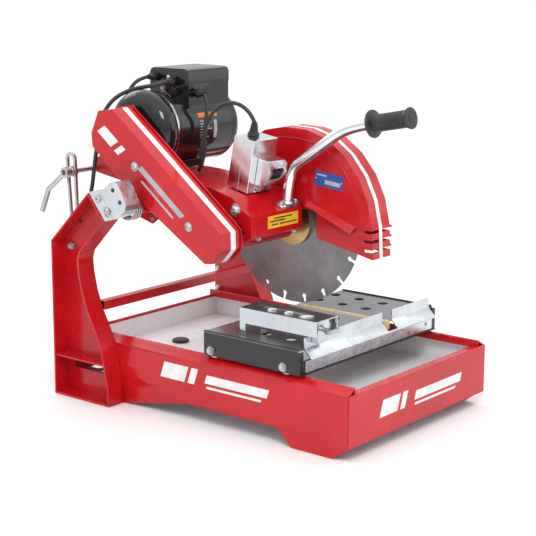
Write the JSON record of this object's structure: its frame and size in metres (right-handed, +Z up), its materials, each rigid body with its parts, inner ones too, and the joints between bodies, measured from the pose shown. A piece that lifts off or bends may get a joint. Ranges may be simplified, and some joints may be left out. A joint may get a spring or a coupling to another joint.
{
  "type": "masonry saw",
  "caption": "Bench masonry saw: blade and motor on a pivoting head over a water pan, with a rolling cart, fence and sliding guide.",
  "frame": {"origin": "on the floor under the middle of the machine, cord left out", "axes": "+X to the operator's right along the head's pivot shaft, +Y to the back along the cart's travel, +Z up"},
  "size_m": [0.578, 0.8847, 0.704],
  "materials": {
    "red": "gloss red paint",
    "black": "gloss black paint",
    "tray": "galvanised",
    "zinc": "zinc plated",
    "steel": "bright steel",
    "yellow_zinc": "yellow zinc plated",
    "chrome": "polished",
    "wood": "bare",
    "rubber": "matt"
  },
  "bodies": {
    "frame": {"pan_frame": "red", "water_tray": "tray", "left_upright": "red", "right_upright": "red", "cross_bar": "red", "left_pivot_bracket": "zinc", "right_pivot_bracket": "zinc", "pivot_shaft": "steel", "torsion_spring": "steel", "link_pin": "steel", "power_cord": "rubber", "cord_clip": "rubber", "cord_coil": "rubber", "cord_plug": "rubber"},
    "drain": {"drain_plug": "rubber"},
    "lock_link_body": {"lock_link": "zinc"},
    "head": {"head_arm": "red", "belt_guard_cover": "red", "belt_guard_backplate": "red", "bearing_housing": "red", "motor_drive_end": "black", "motor_barrel": "black", "motor_fan_end": "black", "terminal_box": "black", "drive_belt": "rubber", "switch_box": "zinc", "switch_shroud": "zinc", "handle_tube": "chrome", "handle_grip": "rubber", "blade_guard": "red", "lock_stud": "steel", "switch_cable": "rubber", "motor_cable": "rubber", "power_lead": "rubber"},
    "crank": {"lock_crank": "zinc"},
    "rotor": {"motor_rotor": "steel", "motor_pulley": "steel"},
    "arbor": {"arbor_shaft": "steel", "arbor_pulley": "steel", "inner_flange": "yellow_zinc", "blade": "steel", "outer_flange": "yellow_zinc", "arbor_nut": "steel"},
    "toggle": {"switch_toggle": "black"},
    "cart": {"cart_frame": "black", "cart_table": "black", "wood_strip": "wood", "fence": "zinc", "front_bar": "zinc", "axle_left_front": "steel", "axle_left_back": "steel", "axle_right_front": "steel", "axle_right_back": "steel"},
    "wheel_lf": {"wheel_left_front": "steel"},
    "wheel_lb": {"wheel_left_back": "steel"},
    "wheel_rf": {"wheel_right_front": "steel"},
    "wheel_rb": {"wheel_right_back": "steel"},
    "guide": {"guide_channel": "zinc", "guide_clamp": "zinc"},
    "thumb": {"thumb_screw": "steel"}
  },
  "joints": [
    {"name": "head_pivot", "type": "hinge", "parent": "frame", "child": "head", "pos_m": [0, 0.17865, 0.424], "axis": [1, 0, 0], "range_deg": [-20, 2]},
    {"name": "blade_spin", "type": "hinge", "parent": "head", "child": "arbor", "pos_m": [0.0625, -0.03735, 0.381], "axis": [1, 0, 0], "continuous": true},
    {"name": "motor_spin", "type": "hinge", "parent": "head", "child": "rotor", "pos_m": [0.006, 0.23365, 0.575], "axis": [1, 0, 0], "continuous": true},
    {"name": "lock_link_swing", "type": "hinge", "parent": "frame", "child": "lock_link_body", "pos_m": [-0.241, 0.32565, 0.33], "axis": [1, 0, 0], "range_deg": [-9, 1]},
    {"name": "lock_crank_turn", "type": "hinge", "parent": "head", "child": "crank", "pos_m": [-0.256, 0.33365, 0.49], "axis": [1, 0, 0], "range_deg": [0, 90]},
    {"name": "switch_toggle_flip", "type": "hinge", "parent": "head", "child": "toggle", "pos_m": [-0.046, -0.04585, 0.506], "axis": [1, 0, 0], "range_deg": [-10, 10]},
    {"name": "cart_slide", "type": "slide", "parent": "frame", "child": "cart", "axis": [0, 1, 0], "range_m": [-0.09, 0.25]},
    {"name": "wheel_left_front_roll", "type": "hinge", "parent": "cart", "child": "wheel_lf", "pos_m": [-0.2224, -0.25035, 0.1592], "axis": [1, 0, 0], "range_deg": [-1005, 365]},
    {"name": "wheel_left_back_roll", "type": "hinge", "parent": "cart", "child": "wheel_lb", "pos_m": [-0.2224, -0.06135, 0.1592], "axis": [1, 0, 0], "range_deg": [-1005, 365]},
    {"name": "wheel_right_front_roll", "type": "hinge", "parent": "cart", "child": "wheel_rf", "pos_m": [0.2224, -0.25035, 0.1592], "axis": [1, 0, 0], "range_deg": [-1005, 365]},
    {"name": "wheel_right_back_roll", "type": "hinge", "parent": "cart", "child": "wheel_rb", "pos_m": [0.2224, -0.06135, 0.1592], "axis": [1, 0, 0], "range_deg": [-1005, 365]},
    {"name": "guide_slide", "type": "slide", "parent": "cart", "child": "guide", "axis": [1, 0, 0], "range_m": [-0.004, 0.17]},
    {"name": "thumb_screw_turn", "type": "hinge", "parent": "guide", "child": "thumb", "pos_m": [-0.178, -0.31235, 0.232], "axis": [0, 1, 0], "range_deg": [-180, 180]},
    {"name": "drain_plug_pull", "type": "slide", "parent": "frame", "child": "drain", "axis": [0, 0, 1], "range_m": [0, 0.04]}
  ],
  "couplings": [
    {"joint": "motor_spin", "follows": "blade_spin", "ratio": 1.1739},
    {"joint": "lock_link_swing", "follows": "head_pivot", "ratio": 0.445},
    {"joint": "wheel_left_front_roll", "follows": "cart_slide", "rad_per_m": -69.93},
    {"joint": "wheel_left_back_roll", "follows": "cart_slide", "rad_per_m": -69.93},
    {"joint": "wheel_right_front_roll", "follows": "cart_slide", "rad_per_m": -69.93},
    {"joint": "wheel_right_back_roll", "follows": "cart_slide", "rad_per_m": -69.93}
  ]
}
